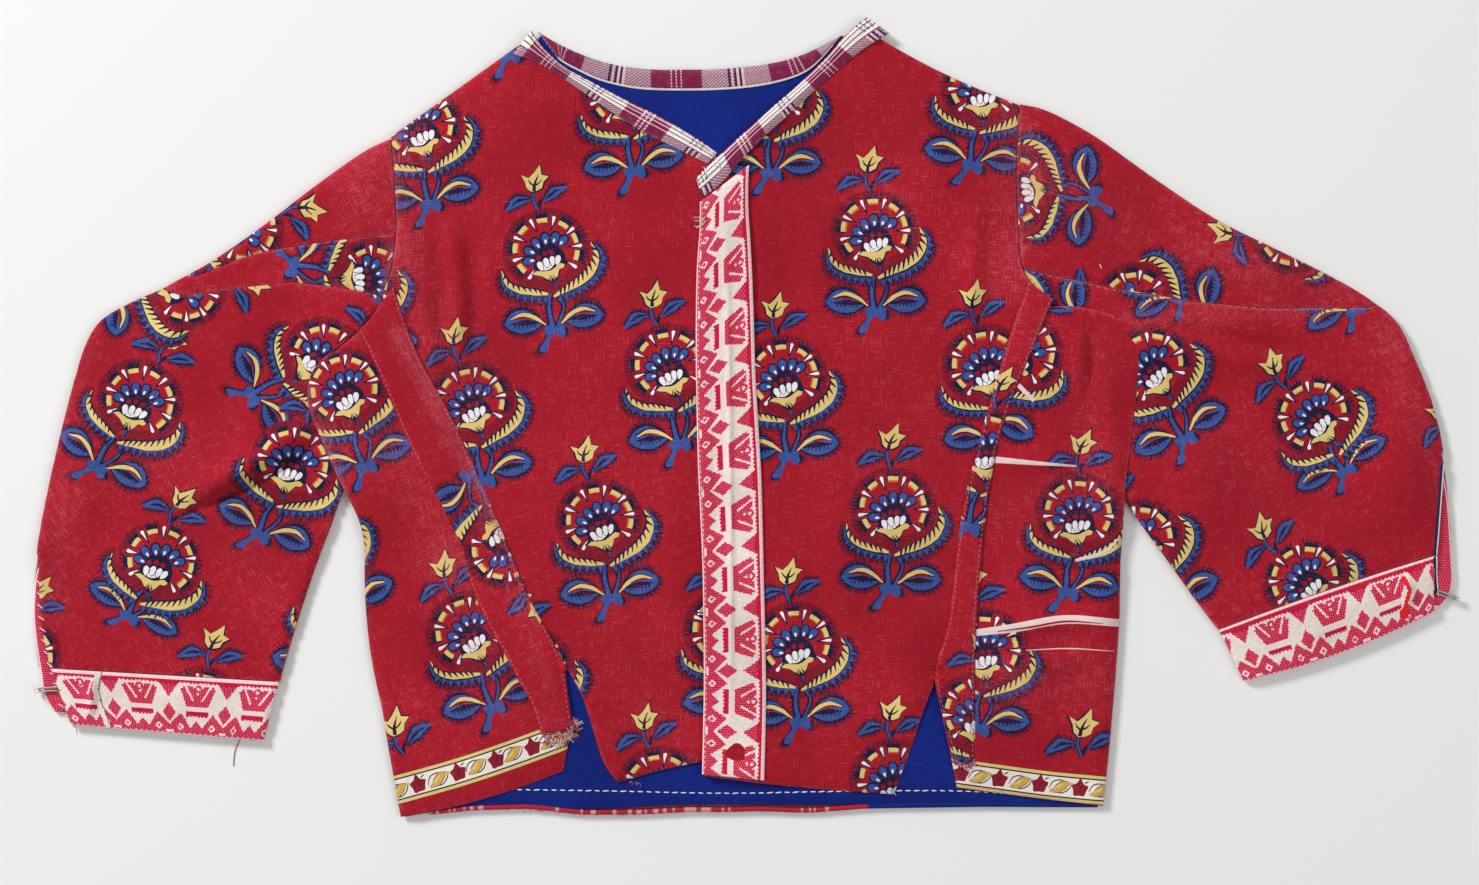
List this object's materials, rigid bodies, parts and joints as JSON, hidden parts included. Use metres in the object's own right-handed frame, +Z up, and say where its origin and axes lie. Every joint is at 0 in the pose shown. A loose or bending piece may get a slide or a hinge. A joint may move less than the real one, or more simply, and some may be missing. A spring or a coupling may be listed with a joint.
{
  "type": "folk costume jacket",
  "caption": "Child's long-sleeved jacket of red printed cotton, laid out flat on its back, with woven ribbon at the front and cuffs, plaid neck tape and wire hooks.",
  "frame": {"origin": "on the surface that the jacket lies on, below the middle of its overall width and length", "axes": "+X towards the wearer's left sleeve, +Y towards the neck, +Z up through the layers of cloth"},
  "size_m": [0.5986, 0.3352, 0.0062],
  "materials": {
    "printed_cotton": "red cotton with a block-printed sprig in yellow, blue and white, matt, worn at the edges",
    "blue_cotton": "plain blue cotton lining, matt",
    "woven_ribbon": "cream ribbon with a woven pattern in red, slightly lustrous",
    "plaid_tape": "twilled cotton tape in maroon, pink and white plaid, matt",
    "steel_wire": "plated steel wire, slightly dulled"
  },
  "bodies": {
    "root": {"side_band_right": "printed_cotton", "side_band_left": "printed_cotton", "front_right": "printed_cotton", "front_left": "printed_cotton", "side_right": "printed_cotton", "side_left": "printed_cotton", "back": "printed_cotton", "back_lining": "blue_cotton", "neck_binding_back": "plaid_tape", "neck_binding_right": "plaid_tape", "neck_binding_left": "plaid_tape", "placket_ribbon": "woven_ribbon", "sleeve_right_over": "printed_cotton", "sleeve_right_strip": "printed_cotton", "sleeve_right_under": "printed_cotton", "sleeve_left_over": "printed_cotton", "sleeve_left_under": "printed_cotton", "cuff_right": "woven_ribbon", "cuff_left": "woven_ribbon", "slit_facing_right": "woven_ribbon", "slit_facing_left": "woven_ribbon", "cuff_hook_right": "steel_wire", "cuff_hook_left": "steel_wire", "front_hook_1": "steel_wire", "front_hook_2": "steel_wire", "front_hook_3": "steel_wire"}
  },
  "joints": []
}
